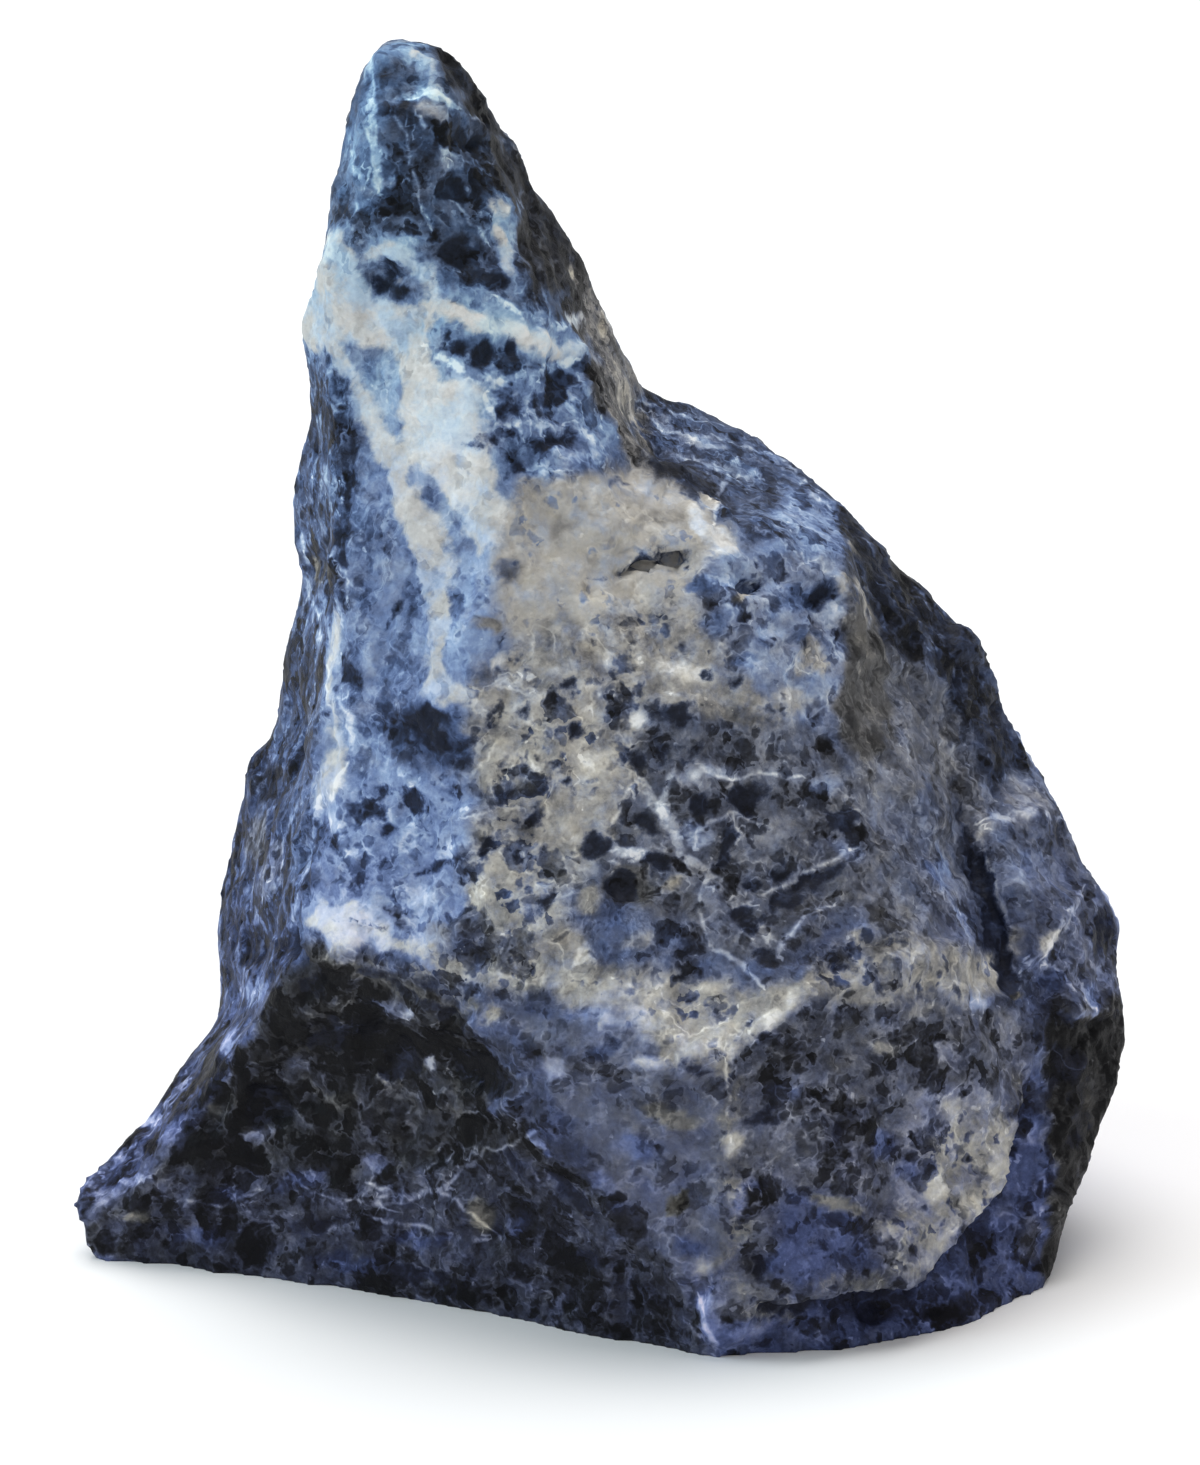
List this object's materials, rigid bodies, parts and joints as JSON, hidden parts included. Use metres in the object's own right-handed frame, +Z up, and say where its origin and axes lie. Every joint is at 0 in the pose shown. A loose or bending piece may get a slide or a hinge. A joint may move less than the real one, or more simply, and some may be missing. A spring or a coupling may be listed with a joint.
{
  "type": "raw sodalite",
  "caption": "Rough lump of blue and white sodalite with a leaning pyramid shape: a tall point, a broken shelf, a low foot, and a flat face underneath to stand on.",
  "frame": {"origin": "on the flat face underneath, below the middle of the stone", "axes": "+Z up towards the point; -Y towards the front, the side with the broad pale face; +X towards the end with the slab, away from the foot"},
  "size_m": [0.0956, 0.0704, 0.1097],
  "materials": {
    "stone": "rough break, dull to waxy shine"
  },
  "bodies": {
    "root": {"sodalite": "stone"}
  },
  "joints": []
}
